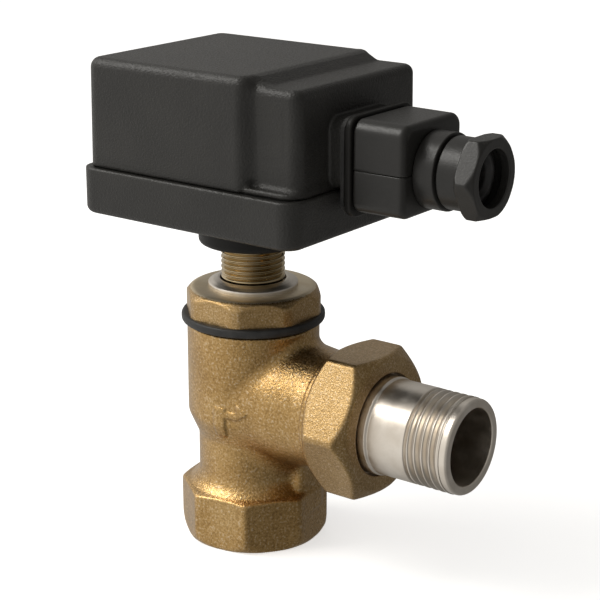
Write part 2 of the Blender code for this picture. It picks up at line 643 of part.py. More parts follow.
def gear_outline(teeth, phase):
    """Teeth with straight flanks; phase is the angle of one tooth's middle."""
    pitch_angle = 2 * math.pi / teeth
    pitch_r = MODULE * teeth / 2
    tip_r = pitch_r + 0.8 * MODULE
    root_r = pitch_r - 1.15 * MODULE
    half_tip = 0.32 * MODULE / tip_r
    half_root = 0.92 * MODULE / root_r
    points = []
    for tooth in range(teeth):
        middle = phase + tooth * pitch_angle
        for radius, angle in ((root_r, -half_root), (tip_r, -half_tip), (tip_r, half_tip),
                              (root_r, half_root)):
            points.append((radius * math.cos(middle + angle), radius * math.sin(middle + angle)))
    return points


def bearing_of(start, end):
    return math.atan2(end[1] - start[1], end[0] - start[0])


def phase_towards(teeth, start, end, gap_faces):
    """Phase that turns a tooth, or a gap between teeth, towards the mating gear."""
    offset = math.pi / teeth if gap_faces else 0.0
    return bearing_of(start, end) + offset


def gear_pair(name, wheel_z, pinion_z, place, wheel_phase, pinion_phase):
    """A wheel and a pinion moulded as one piece that turns on an axle."""
    bore = circle(AXLE_R + GAP, steps=16)
    x, y = place[0] * MM, place[1] * MM
    gear = plate(name, "white_gear", gear_outline(WHEEL_TEETH, wheel_phase), [bore], *wheel_z,
                 x=x, y=y)
    pinion = plate(f"cut_{name}_pinion", None, gear_outline(PINION_TEETH, pinion_phase), [bore],
                   *pinion_z, x=x, y=y)
    combine(gear, "UNION", pinion)


def make_gears():
    """Motor pinion, two compound gears and the output gear, meshed from below upwards."""
    middle = (0.0, 0.0)
    rotor = rod("motor_rotor", "steel", AXLE_R, 81.5 * MM, 96.5 * MM, x=MOTOR_PLACE[0] * MM,
                y=MOTOR_PLACE[1] * MM, steps=16)
    phase = phase_towards(PINION_TEETH, MOTOR_PLACE, GEAR_ONE_PLACE, gap_faces=False)
    pinion = plate("cut_motor_pinion", None, gear_outline(PINION_TEETH, phase), [], 81.7 * MM,
                   84.3 * MM, x=MOTOR_PLACE[0] * MM, y=MOTOR_PLACE[1] * MM)
    combine(rotor, "UNION", pinion)
    gear_pair("compound_gear_1", (82.0 * MM, 84.0 * MM), (83.9 * MM, 87.0 * MM), GEAR_ONE_PLACE,
              phase_towards(WHEEL_TEETH, GEAR_ONE_PLACE, MOTOR_PLACE, gap_faces=True),
              phase_towards(PINION_TEETH, GEAR_ONE_PLACE, GEAR_TWO_PLACE, gap_faces=False))
    gear_pair("compound_gear_2", (84.8 * MM, 86.8 * MM), (86.7 * MM, 90.1 * MM), GEAR_TWO_PLACE,
              phase_towards(WHEEL_TEETH, GEAR_TWO_PLACE, GEAR_ONE_PLACE, gap_faces=True),
              phase_towards(PINION_TEETH, GEAR_TWO_PLACE, middle, gap_faces=False))
    phase = phase_towards(OUTPUT_TEETH, middle, GEAR_TWO_PLACE, gap_faces=True)
    bore = circle(SCREW_R + GAP, steps=20)
    output = plate("output_gear", "white_gear", gear_outline(OUTPUT_TEETH, phase), [bore],
                   87.6 * MM, 89.8 * MM)
    hub = turned("cut_output_hub", None, [
        (4.7 * MM, 92.3 * MM), (4.7 * MM, 90.3 * MM), (5.6 * MM, 90.3 * MM), (5.6 * MM, 87.2 * MM),
        (SCREW_R + GAP, 87.2 * MM), (SCREW_R + GAP, 92.3 * MM)], hollow=True, steps=20)
    combine(output, "UNION", hub)


def make_pusher():
    """Threaded pusher and the arm that stops it turning and trips the limit switches."""
    outer = [(0, 92.9 * MM), (3.0 * MM, 92.9 * MM)]
    outer += threaded(SCREW_R, 3.1 * MM, 86.5 * MM, 92.6 * MM, 2.0 * MM)
    outer += [(SCREW_R, 86.2 * MM), (SCREW_R, 77.0 * MM),
              (3.0 * MM, 76.3 * MM), (0, 76.3 * MM)]
    turned("pusher_screw", "steel", outer, steps=24)
    reach = 16.3 * MM
    half = 3.0 * MM
    hub_r = 4.6 * MM
    start = math.asin(half / hub_r)
    steps = 14
    sweep = 2 * math.pi - 2 * start
    hub = [(hub_r * math.cos(start + sweep * k / steps), hub_r * math.sin(start + sweep * k / steps))
           for k in range(steps + 1)]
    outline = [(reach, -7.0 * MM), (reach, 7.0 * MM), (11.4 * MM, 7.0 * MM), (8.0 * MM, half), *hub,
               (8.0 * MM, -half), (11.4 * MM, -7.0 * MM)]
    holes = [circle(SCREW_R + GAP, steps=20), circle(1.5 * MM, 13.5 * MM, 0, 12)]
    plate("stroke_arm", "steel", outline, holes, 84.0 * MM, 85.6 * MM)


def make_motor():
    turned("motor_can", "motor_zinc", [
        (3.0 * MM, 106.4 * MM), (3.0 * MM, 105.6 * MM), (11.2 * MM, 105.6 * MM), (12.0 * MM, 104.8 * MM),
        (12.0 * MM, 93.0 * MM), (4.2 * MM, 93.0 * MM), (4.2 * MM, 91.6 * MM),
        (AXLE_R + GAP, 91.6 * MM), (AXLE_R + GAP, 106.4 * MM)],
        x=MOTOR_PLACE[0] * MM, y=MOTOR_PLACE[1] * MM, hollow=True)


def make_switches():
    """Two limit switches whose buttons face the stroke arm at the two ends of its travel."""
    for name, side, low, button_z in (("open", 1, 82.2 * MM, 84.8 * MM),
                                      ("closed", -1, 80.9 * MM, 82.1 * MM)):
        middle_y = side * 4.0 * MM
        body = block(f"limit_switch_{name}", "black_plastic",
                     (17.6 * MM, middle_y - 3 * MM, low), (23.6 * MM, middle_y + 3 * MM, low + 8 * MM),
                     corner=0.4 * MM, segments=1)
        pocket = rod(f"cut_switch_pocket_{name}", None, 0.9 * MM, 17 * MM, 20.6 * MM, y=middle_y,
                     z=button_z, along_x=True, steps=16)
        combine(body, "DIFFERENCE", pocket)
        turned(f"switch_button_{name}", "switch_red", [
            (0, 19.8 * MM), (0.6 * MM, 19.8 * MM), (0.6 * MM, 17.0 * MM), (0.3 * MM, 16.7 * MM),
            (0, 16.7 * MM)], y=middle_y, z=button_z, along_x=True, steps=16)


def make_circuit():
    holes = [circle(1.1 * MM, 6.0 * MM, side * 11.0 * MM, 12) for side in (-1, 1)]
    plate("circuit_board", "circuit_green",
          rounded_rectangle(3.0 * MM, 23.6 * MM, -13.4 * MM, 13.4 * MM, 1.0 * MM, 2), holes,
          96.0 * MM, 97.6 * MM)
    turned("motor_capacitor", "black_plastic", [
        (0, 105.0 * MM), (3.4 * MM, 105.0 * MM), (3.8 * MM, 104.6 * MM), (3.8 * MM, 97.9 * MM),
        (0, 97.9 * MM)], x=12.0 * MM, y=-7.0 * MM, steps=24)


# ---------------------------------------------------------------- the connector

def make_connector_base():
    """Flange on the cover's boss, with a neck through the window and slots for the blades."""
    block_low = (32.5 * MM, -11.6 * MM, 81.0 * MM)
    block_high = (34.0 * MM, 11.6 * MM, 102.0 * MM)
    base = block("connector_base", "black_plastic", block_low, block_high, corner=3.0 * MM, axis=0)
    neck = block("cut_connector_neck", None, (24.9 * MM, -WINDOW_Y + GAP, WINDOW_Z[0] + GAP),
                 (33.2 * MM, WINDOW_Y - GAP, WINDOW_Z[1] - GAP), corner=0.6 * MM, axis=0, segments=2)
    combine(base, "UNION", neck)
    for name, low, high in blade_boxes():
        grown = GAP * Vector((0, 1, 1))
        reach = Vector((4 * MM, 0, 0))
        slot = block(f"cut_base_slot_{name}", None, Vector(low) - grown - reach,
                     Vector(high) + grown + reach)
        combine(base, "DIFFERENCE", slot)
    gasket = block("connector_gasket", "black_rubber", (31.4 * MM, -11.1 * MM, 81.5 * MM),
                   (32.2 * MM, 11.1 * MM, 101.5 * MM), corner=2.8 * MM, axis=0)
    window = block("cut_gasket_window", None, (30 * MM, -WINDOW_Y, WINDOW_Z[0]),
                   (34 * MM, WINDOW_Y, WINDOW_Z[1]), corner=0.8 * MM, axis=0, segments=2)
    combine(gasket, "DIFFERENCE", window)
    for name, low, high in blade_boxes():
        block(name, "nickel", low, high)


def blade_boxes():
    """Each blade's name and its lowest and highest corners."""
    start, end = 25.0 * MM, 41.0 * MM
    thin, wide = 0.4 * MM, 2.2 * MM
    boxes = []
    for name, (y, z) in BLADES.items():
        boxes.append((name, (start, y * MM - thin, z * MM - wide), (end, y * MM + thin, z * MM + wide)))
    boxes.append(("blade_earth", (start, -wide, EARTH_BLADE_Z - thin), (end, wide, EARTH_BLADE_Z + thin)))
    return boxes


def make_housing():
    """Two shell halves, joined along the connector's middle plane, and the contact carrier."""
    halves = (("connector_shell_lower", HOUSING_Z[0], CONNECTOR_Z - GAP / 2),
              ("connector_shell_upper", CONNECTOR_Z + GAP / 2, HOUSING_Z[1]))
    for name, low_z, high_z in halves:
        shell = block(name, "black_plastic", (HOUSING_X[0], -HOUSING_Y, HOUSING_Z[0]),
                      (HOUSING_X[1], HOUSING_Y, HOUSING_Z[1]), corner=3.0 * MM, axis=0,
                      top_rim=1.0 * MM)
        hollow = block(f"cut_{name}_hollow", None,
                       (HOUSING_X[0] - 1 * MM, -HOUSING_Y + HOUSING_WALL, HOUSING_Z[0] + HOUSING_WALL),
                       (HOUSING_X[1] - HOUSING_WALL, HOUSING_Y - HOUSING_WALL,
                        HOUSING_Z[1] - HOUSING_WALL), corner=1.5 * MM, axis=0, segments=2)
        hole = rod(f"cut_{name}_hole", None, 6.2 * MM, 42 * MM, 48 * MM, z=CONNECTOR_Z, along_x=True)
        keep = block(f"cut_{name}_half", None, (30 * MM, -15 * MM, low_z), (50 * MM, 15 * MM, high_z))
        combine(shell, "DIFFERENCE", hollow)
        combine(shell, "DIFFERENCE", hole)
        combine(shell, "INTERSECT", keep)
    carrier = block("contact_carrier", "black_plastic", (35.0 * MM, -7.6 * MM, 87.0 * MM),
                    (41.9 * MM, 7.6 * MM, 97.6 * MM), corner=1.0 * MM, axis=0, segments=2)
    for name, low, high in blade_boxes():
        grown = GAP * Vector((0, 1, 1))
        slot = block(f"cut_carrier_slot_{name}", None, Vector(low) - grown,
                     Vector(high) + grown + Vector((4 * MM, 0, 0)))
        combine(carrier, "DIFFERENCE", slot)


def make_gland():
    """Cable gland on the connector's axis: threaded body, rubber seal and hexagonal nut."""
    place = {"z": CONNECTOR_Z, "along_x": True}
    turned("gland_body", "black_plastic", [
        (6.3 * MM, 57.0 * MM), (6.6 * MM, 56.6 * MM), (6.6 * MM, 51.2 * MM), (8.05 * MM, 51.2 * MM),
        (8.05 * MM, 46.6 * MM), (5.9 * MM, 46.6 * MM), (5.9 * MM, 44.2 * MM), (7.2 * MM, 44.2 * MM),
        (7.2 * MM, 42.8 * MM), (4.4 * MM, 42.8 * MM), (4.4 * MM, 49.5 * MM), (5.5 * MM, 49.5 * MM),
        (5.5 * MM, 57.0 * MM)], hollow=True, steps=24, **place)
    turned("gland_seal", "black_rubber", [
        (5.2 * MM, 57.6 * MM), (5.2 * MM, 49.8 * MM), (3.6 * MM, 49.8 * MM), (3.6 * MM, 56.4 * MM),
        (4.4 * MM, 57.6 * MM)], hollow=True, steps=28, **place)
    nut = turned("gland_nut", "black_plastic", [
        (0, 56.9 * MM), (7.2 * MM, 56.9 * MM), (7.55 * MM, 56.4 * MM), (7.55 * MM, 52.1 * MM),
        (7.2 * MM, 51.6 * MM), (0, 51.6 * MM)], **place)
    nut_hex = prism("cut_gland_hex", None, 6, 9.7 * MM, 56.3 * MM, NUT_REACH_FRONT, along_x=True,
                    z=CONNECTOR_Z)
    envelope = turned("cut_gland_envelope", None, [
        (0, NUT_REACH_FRONT), (8.6 * MM, NUT_REACH_FRONT), (9.8 * MM, 59.8 * MM), (9.8 * MM, 57.2 * MM),
        (9.2 * MM, 56.3 * MM), (0, 56.3 * MM)], **place)
    bore = turned("cut_gland_bore", None, [
        (0, 62 * MM), (6.5 * MM, 62 * MM), (6.5 * MM, 58.6 * MM), (6.95 * MM, 58.6 * MM),
        (6.95 * MM, 50 * MM), (0, 50 * MM)], **place)
    combine(nut_hex, "INTERSECT", envelope)
    combine(nut, "UNION", nut_hex)
    combine(nut, "DIFFERENCE", bore)


def make_everything():
    make_valve_body()
    make_bonnet()
    make_threaded_neck()
    make_spindle()
    make_return_spring()
    make_union()
    make_coupling()
    make_base_tray()
    make_cover()
    make_casing_seal_and_screws()
    make_frame()
    make_gears()
    make_pusher()
    make_motor()
    make_switches()
    make_circuit()
    make_connector_base()
    make_housing()
    make_gland()
    finish_parts()


clear_scene()
PARTS = make_collection("motorised_angle_valve")
CUTTERS = make_collection("cutters")
MATERIALS = {name: make_material(name) for name in COLOURS}
make_everything()
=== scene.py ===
"""Looks of the motorised valve: an angle valve in cast brass with a black actuator on top."""
import json
import math

import bmesh
import bpy
import numpy as np
from mathutils import Matrix, Vector


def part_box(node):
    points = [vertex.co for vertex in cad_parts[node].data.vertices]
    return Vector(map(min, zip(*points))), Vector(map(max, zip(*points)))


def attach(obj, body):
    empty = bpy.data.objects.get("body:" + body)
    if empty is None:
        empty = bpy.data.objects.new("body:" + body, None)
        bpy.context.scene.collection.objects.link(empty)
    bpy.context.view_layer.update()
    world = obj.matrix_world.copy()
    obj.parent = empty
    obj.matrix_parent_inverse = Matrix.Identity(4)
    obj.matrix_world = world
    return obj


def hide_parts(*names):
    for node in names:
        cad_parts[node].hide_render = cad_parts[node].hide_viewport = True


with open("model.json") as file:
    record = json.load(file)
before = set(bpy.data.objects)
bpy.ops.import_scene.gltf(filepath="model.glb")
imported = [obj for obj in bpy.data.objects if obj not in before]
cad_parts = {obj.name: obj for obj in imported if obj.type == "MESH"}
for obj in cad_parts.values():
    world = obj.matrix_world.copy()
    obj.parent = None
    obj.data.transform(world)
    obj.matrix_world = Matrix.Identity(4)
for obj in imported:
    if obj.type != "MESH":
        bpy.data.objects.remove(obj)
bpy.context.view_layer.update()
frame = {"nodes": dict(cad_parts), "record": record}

MM = 0.001
TAU = 2 * math.pi
SPINDLE = sum(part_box("valve_spindle"), Vector()) / 2
OUTLET = sum(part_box("union_nut"), Vector()) / 2
OUTLET_Z = OUTLET.z / MM
PLUG_Z = (sum(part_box("gland_nut"), Vector()) / 2).z / MM
PIPE_PITCH = 1.814
NECK_PITCH = 1.15
THREAD_SAMPLES = 16
FLOOR_REACH = 3.0
FLOOR_GLOW = 0.61
LIGHT_TARGET = Vector((0, 0, 0.06))
GLOW_AZIMUTH, GLOW_ELEVATION = -54, 10


# ---------------------------------------------------------------- distance fields, in millimetres
# Points are given from the spindle's axis. A field is below zero inside the shape.

def join(a, b, radius=0.0):
    """Union of two fields, with a fillet of that radius where they meet."""
    if np.isscalar(radius) and radius == 0:
        return np.minimum(a, b)
    corner = np.hypot(np.maximum(radius - a, 0), np.maximum(radius - b, 0))
    return np.maximum(radius, np.minimum(a, b)) - corner


def both(a, b, radius=0.0):
    """Intersection of two fields, with the edge between them rounded."""
    return -join(-a, -b, radius)


def cut(a, b, radius=0.0):
    return both(a, -b, radius)


def span(value, low, high):
    return np.maximum(low - value, value - high)


def rounded_rectangle(u, v, low, high, corner):
    reach_u = np.abs(u - (low[0] + high[0]) / 2) - (high[0] - low[0]) / 2 + corner
    reach_v = np.abs(v - (low[1] + high[1]) / 2) - (high[1] - low[1]) / 2 + corner
    outside = np.hypot(np.maximum(reach_u, 0), np.maximum(reach_v, 0))
    return outside + np.minimum(np.maximum(reach_u, reach_v), 0) - corner


def block(point, low, high, corner, top=0.0, bottom=0.0, axis=2, draft=0.0):
    """Box with rounded edges along axis, rounded rims at its ends, and sides that lean in."""
    u, v, w = ((1, 2, 0), (2, 0, 1), (0, 1, 2))[axis]
    side = rounded_rectangle(point[u], point[v], (low[u], low[v]), (high[u], high[v]), corner)
    side = side + draft * (point[w] - low[w])
    return both(both(side, point[w] - high[w], top), low[w] - point[w], bottom)


def polygon_prism(u, v, sides, corner_radius, turn, edge):
    """Regular prism around the origin, with its long edges rounded."""
    step = TAU / sides
    angle = np.arctan2(v, u) - turn
    folded = np.mod(angle, step) - step / 2
    reach = np.hypot(u, v)
    apothem = corner_radius * math.cos(step / 2)
    near = reach * np.cos(folded) - apothem
    beside = reach * np.cos(step - np.abs(folded)) - apothem
    return both(near, beside, edge)


def soft_profile(pairs, blur):
    """Function of height that gives a radius, from (height, radius) pairs with softened bends."""
    heights = np.arange(pairs[0][0] - 4, pairs[-1][0] + 4, 0.05)
    radii = np.interp(heights, [h for h, _ in pairs], [r for _, r in pairs])
    window = np.hanning(int(blur / 0.05) | 1)
    reach = len(window) // 2
    padded = np.pad(radii, reach, mode="edge")
    smooth = np.convolve(padded, window / window.sum(), mode="valid")
    return lambda height: np.interp(height, heights, smooth)


def thread_wave(height, angle, pitch):
    """0 on a thread's crests, 1 in its roots."""
    phase = np.mod(height / pitch - angle / TAU, 1)
    return np.clip((1 - np.abs(2 * phase - 1)) * 1.5 - 0.25, 0, 1)


# ---------------------------------------------------------------- meshes

def new_object(name, points, faces):
    """Object from points in millimetres around the spindle's axis."""
    mesh = bpy.data.meshes.new(name)
    shifted = np.asarray(points) * MM + np.array((SPINDLE.x, SPINDLE.y, 0))
    mesh.from_pydata(shifted.tolist(), [], faces)
    mesh.polygons.foreach_set("use_smooth", np.ones(len(mesh.polygons), bool))
    obj = bpy.data.objects.new(name, mesh)
    bpy.context.scene.collection.objects.link(obj)
    return obj


def field_mesh(name, field, low, high, step):
    """Mesh of a field's zero surface: one point in each cell the surface crosses."""
    axes = [np.arange(a - step, b + 1.5 * step, step) for a, b in zip(low, high)]
    depth = field(*np.meshgrid(*axes, indexing="ij"))
    inside = depth < 0
    corners = [np.array((i, j, k)) for i in (0, 1) for j in (0, 1) for k in (0, 1)]
    size = np.array(depth.shape) - 1
    count = sum(inside[tuple(slice(c, c + n) for c, n in zip(corner, size))].astype(np.int8)
                for corner in corners)
    cells = np.argwhere((count > 0) & (count < 8))
    number = np.full(count.shape, -1)
    number[tuple(cells.T)] = np.arange(len(cells))
    total = np.zeros((len(cells), 3))
    crossings = np.zeros(len(cells))
    for corner in corners:
        for axis in np.flatnonzero(corner == 0):
            along = np.eye(3, dtype=int)[axis]
            start = depth[tuple((cells + corner).T)]
            end = depth[tuple((cells + corner + along).T)]
            hit = (start < 0) != (end < 0)
            share = start[hit] / (start[hit] - end[hit])
            total[hit] += cells[hit] + corner + share[:, None] * along
            crossings[hit] += 1
    points = total / crossings[:, None] * step + np.array([a[0] for a in axes])
    points = settle(points, field, step)
    faces = []
    for axis, u, v in ((0, 1, 2), (1, 2, 0), (2, 0, 1)):
        first = np.moveaxis(inside, axis, 0)[:-1]
        second = np.moveaxis(inside, axis, 0)[1:]
        edges = np.argwhere(np.moveaxis(first != second, 0, axis))
        outward = inside[tuple(edges.T)]
        around = []
        for back_u, back_v in ((0, 0), (1, 0), (1, 1), (0, 1)):
            cell = edges.copy()
            cell[:, u] -= back_u
            cell[:, v] -= back_v
            around.append(number[tuple(cell.T)])
        quads = np.stack(around, axis=1)
        quads[~outward] = quads[~outward][:, ::-1]
        faces += quads.tolist()
    return new_object(name, points, faces)


def settle(points, field, step, rounds=3, probe=0.04):
    """Move points onto the zero surface, along the field's slope."""
    for _ in range(rounds):
        depth = field(*points.T)
        slope = np.empty_like(points)
        for axis in range(3):
            shift = np.eye(3)[axis] * probe
            slope[:, axis] = (field(*(points + shift).T) - field(*(points - shift).T)) / (2 * probe)
        move = depth[:, None] * slope / np.maximum((slope ** 2).sum(1), 0.2)[:, None]
        length = np.linalg.norm(move, axis=1, keepdims=True)
        points = points - move * np.minimum(1, 0.4 * step / np.maximum(length, 1e-9))
    return points


def soften(profile, radius, segments=4, support=0.05):
    """Round each corner of a closed (radius, height) outline, with a holding loop beside each arc."""
    result = []
    corners = [np.array(p[:2], float) for p in profile]
    for index, corner in enumerate(corners):
        wanted = profile[index][2] if len(profile[index]) > 2 else radius
        before = corners[index - 1] - corner
        after = corners[(index + 1) % len(corners)] - corner
        lengths = np.linalg.norm(before), np.linalg.norm(after)
        before, after = before / lengths[0], after / lengths[1]
        reach = min(wanted, 0.4 * min(lengths))
        start, end = corner + before * reach, corner + after * reach
        result.append(start + before * min(support, 0.1 * lengths[0]))
        for share in np.linspace(0, 1, segments + 1):
            result.append((1 - share) ** 2 * start + 2 * share * (1 - share) * corner + share ** 2 * end)
        result.append(end + after * min(support, 0.1 * lengths[1]))
    return result


def thread_rows(start, end, crest, root, pitch, steps, fade):
    """Level rows from a high start down to a low end; the radius follows a helix round them."""
    angles = np.arange(steps) / steps * TAU
    rows = []
    for height in np.linspace(start, end, math.ceil((start - end) / pitch * THREAD_SAMPLES)):
        strength = min(1, (start - height) / fade[0]) * min(1, (height - end) / fade[1])
        rows.append((crest - (crest - root) * thread_wave(height, angles, pitch) * strength, height))
    return rows


def turned(name, rows, steps=96, along_x=False, z=0.0):
    """Closed ring mesh from rows of (radius, height); a row's values may change round the ring."""
    radii = np.array([np.broadcast_to(row[0], steps) for row in rows], float)
    heights = np.array([np.broadcast_to(row[1], steps) for row in rows], float)
    angles = np.arange(steps) / steps * TAU
    across = radii * np.cos(angles)
    beside = radii * np.sin(angles)
    if along_x:
        points = np.stack((heights, across, beside + z), axis=-1)
    else:
        points = np.stack((across, beside, heights + z), axis=-1)
    count = len(rows)
    faces = []
    for row in range(count):
        below = (row + 1) % count
        for step in range(steps):
            beyond = (step + 1) % steps
            faces.append((row * steps + step, below * steps + step,
                          below * steps + beyond, row * steps + beyond))
    obj = new_object(name, points.reshape(-1, 3), faces)
    bm = bmesh.new()
    bm.from_mesh(obj.data)
    bmesh.ops.recalc_face_normals(bm, faces=bm.faces)
    bm.to_mesh(obj.data)
    bm.free()
    return obj


# ---------------------------------------------------------------- materials

class Look:
    """A Principled material with short calls for its procedural nodes; lengths are millimetres."""

    def __init__(self, name, roughness, metallic=0.0, specular=0.5):
        self.material = bpy.data.materials.new(name)
        self.material.use_nodes = True
        self.tree = self.material.node_tree
        self.shader = self.tree.nodes["Principled BSDF"]
        self.shader.inputs["Roughness"].default_value = roughness
        self.shader.inputs["Metallic"].default_value = metallic
        self.shader.inputs["Specular IOR Level"].default_value = specular
        place = self.tree.nodes.new("ShaderNodeTexCoord")
        self.millimetres = self.stretched(place.outputs["Object"], (1000, 1000, 1000))

    def link(self, output, node, socket):
        self.tree.links.new(output, node.inputs[socket])

    def stretched(self, vector, scale):
        mapping = self.tree.nodes.new("ShaderNodeMapping")
        mapping.inputs["Scale"].default_value = scale
        self.link(vector, mapping, "Vector")
        return mapping.outputs["Vector"]

    def noise(self, size, detail=2.0, roughness=0.5, stretch=(1, 1, 1)):
        """Cloudy pattern whose patches are about size millimetres across."""
        node = self.tree.nodes.new("ShaderNodeTexNoise")
        node.inputs["Scale"].default_value = 1.0
        node.inputs["Detail"].default_value = detail
        node.inputs["Roughness"].default_value = roughness
        scale = tuple(s / size for s in stretch)
        self.link(self.stretched(self.millimetres, scale), node, "Vector")
        return node.outputs["Fac"]

    def spread(self, value, low, high, new_low, new_high):
        node = self.tree.nodes.new("ShaderNodeMapRange")
        for socket, number in (("From Min", low), ("From Max", high), ("To Min", new_low),
                               ("To Max", new_high)):
            node.inputs[socket].default_value = number
        self.link(value, node, "Value")
        return node.outputs["Result"]

    def colours(self, value, *stops):
        node = self.tree.nodes.new("ShaderNodeValToRGB")
        ramp = node.color_ramp
        while len(ramp.elements) < len(stops):
            ramp.elements.new(0.5)
        for element, (position, colour) in zip(ramp.elements, stops):
            element.position = position
            element.color = (*colour, 1)
        self.link(value, node, "Fac")
        return node.outputs["Color"]

    def blend(self, mode, amount, first, second):
        node = self.tree.nodes.new("ShaderNodeMix")
        node.data_type = "RGBA"
        node.blend_type = mode
        self.put(node.inputs["Factor"], amount)
        self.put(node.inputs[6], first)
        self.put(node.inputs[7], second)
        return node.outputs[2]

    def put(self, socket, value):
        if isinstance(value, bpy.types.NodeSocket):
            self.tree.links.new(value, socket)
        elif isinstance(value, tuple):
            socket.default_value = (*value, 1)
        else:
            socket.default_value = value

    def bump(self, height, depth, below=None):
        """Relief of that depth; below is the relief that it sits on."""
        node = self.tree.nodes.new("ShaderNodeBump")
        node.inputs["Distance"].default_value = depth * MM
        self.link(height, node, "Height")
        if below is not None:
            self.link(below, node, "Normal")
        return node.outputs["Normal"]

    def edges(self, low, high):
        """From 0, in hollows or on flat faces, up to 1 on convex edges."""
        node = self.tree.nodes.new("ShaderNodeNewGeometry")
        return self.spread(node.outputs["Pointiness"], low, high, 0, 1)

    def finish(self, colour=None, roughness=None, normal=None):
        for socket, value in (("Base Color", colour), ("Roughness", roughness), ("Normal", normal)):
            if value is not None:
                self.put(self.shader.inputs[socket], value)
        return self.material


def blasted_brass(name, dark, middle, light, painted_glint, grain, depth, rough):
    """Cast brass, shot-blasted: grain with painted glints, cloudy tone, and convex edges lightened partly
    as rubbing wear and partly as a painted highlight.
    """
    look = Look(name, 0.4, metallic=1.0)
    look.shader.inputs["Coat Weight"].default_value = 0.5
    look.shader.inputs["Coat Roughness"].default_value = 0.38
    clouds = look.noise(9.0, detail=2)
    speckle = look.noise(grain, detail=2, roughness=0.6)
    fine = look.noise(grain * 0.4, detail=1)
    tone = look.colours(clouds, (0.3, dark), (0.52, middle), (0.75, light))
    spots = look.colours(speckle, (0.36, (0.48, 0.43, 0.34)), (0.5, (0.86, 0.85, 0.83)),
                         (0.62, (1.0, 1.0, 1.0)))
    colour = look.blend("MULTIPLY", 0.65, tone, spots)
    # painted glints: where the grain's speckle is high, the colour is mixed towards a pale colour that
    # stands in for sparkling highlights
    colour = look.blend("MIX", look.spread(speckle, 0.56, 0.68, 0, 0.32), colour, painted_glint)
    # convex edges lightened towards the light tone, partly as rubbing wear and partly as a painted
    # highlight
    colour = look.blend("MIX", look.spread(look.edges(0.515, 0.60), 0, 1, 0, 0.5), colour, light)
    relief = look.bump(speckle, depth, look.bump(fine, depth * 0.4))
    return look.finish(colour, look.spread(speckle, 0.3, 0.7, rough[0], rough[1]), relief)


def machined_metal(name, dark, light, rough, streak, depth):
    """Turned or plated metal: faint streaks along the cut, cloudy reflections, and painted shade that
    darkens hollows and thread roots.
    """
    look = Look(name, rough[0], metallic=1.0)
    clouds = look.noise(3.5, detail=3, roughness=0.6)
    streaks = look.noise(0.35, detail=2, stretch=streak)
    specks = look.noise(0.5, detail=2)
    colour = look.colours(look.noise(5.0, detail=2), (0.3, dark), (0.7, light))
    colour = look.blend("MULTIPLY", 0.35, colour,
                        look.colours(clouds, (0.35, (0.72, 0.70, 0.67)), (0.65, (1.0, 1.0, 1.0))))
    # painted shade: hollows and thread roots, found by low pointiness, are darkened towards a dark brown
    colour = look.blend("MULTIPLY", 1.0, colour,
                        look.colours(look.edges(0.40, 0.50), (0.0, (0.16, 0.13, 0.09)),
                                     (1.0, (1.0, 1.0, 1.0))))
    relief = look.bump(specks, depth, look.bump(streaks, depth * 0.6))
    return look.finish(colour, look.spread(clouds, 0.35, 0.7, rough[0], rough[1]), relief)


def moulded_plastic(name, dark, light, rough, depth, specular=0.4):
    """Black moulding with a fine spark-eroded grain, and convex edges mixed towards a grey that lightens
    black plastic, partly as rubbing wear and partly as a painted highlight.
    """
    look = Look(name, rough[0], specular=specular)
    grain = look.noise(0.48, detail=2, roughness=0.6)
    fine = look.noise(0.2, detail=1)
    clouds = look.noise(12.0, detail=2)
    colour = look.blend("MIX", look.spread(clouds, 0.35, 0.65, 0, 1), dark, light)
    # convex edges mixed a quarter of the way towards a grey, partly as rubbing wear and partly as a
    # painted highlight
    colour = look.blend("MIX", look.spread(look.edges(0.52, 0.60), 0, 1, 0, 0.25), colour,
                        (0.045, 0.043, 0.038))
    relief = look.bump(grain, depth, look.bump(fine, depth * 0.35))
    return look.finish(colour, look.spread(grain, 0.3, 0.7, rough[0], rough[1]), relief)


def rubber():
    look = Look("rubber_satin", 0.5)
    dust = look.noise(2.0, detail=3)
    colour = look.colours(dust, (0.35, (0.010, 0.010, 0.010)), (0.7, (0.022, 0.021, 0.020)))
    return look.finish(colour, look.spread(dust, 0.3, 0.7, 0.42, 0.58),
                       look.bump(look.noise(0.25, detail=2), 0.006))


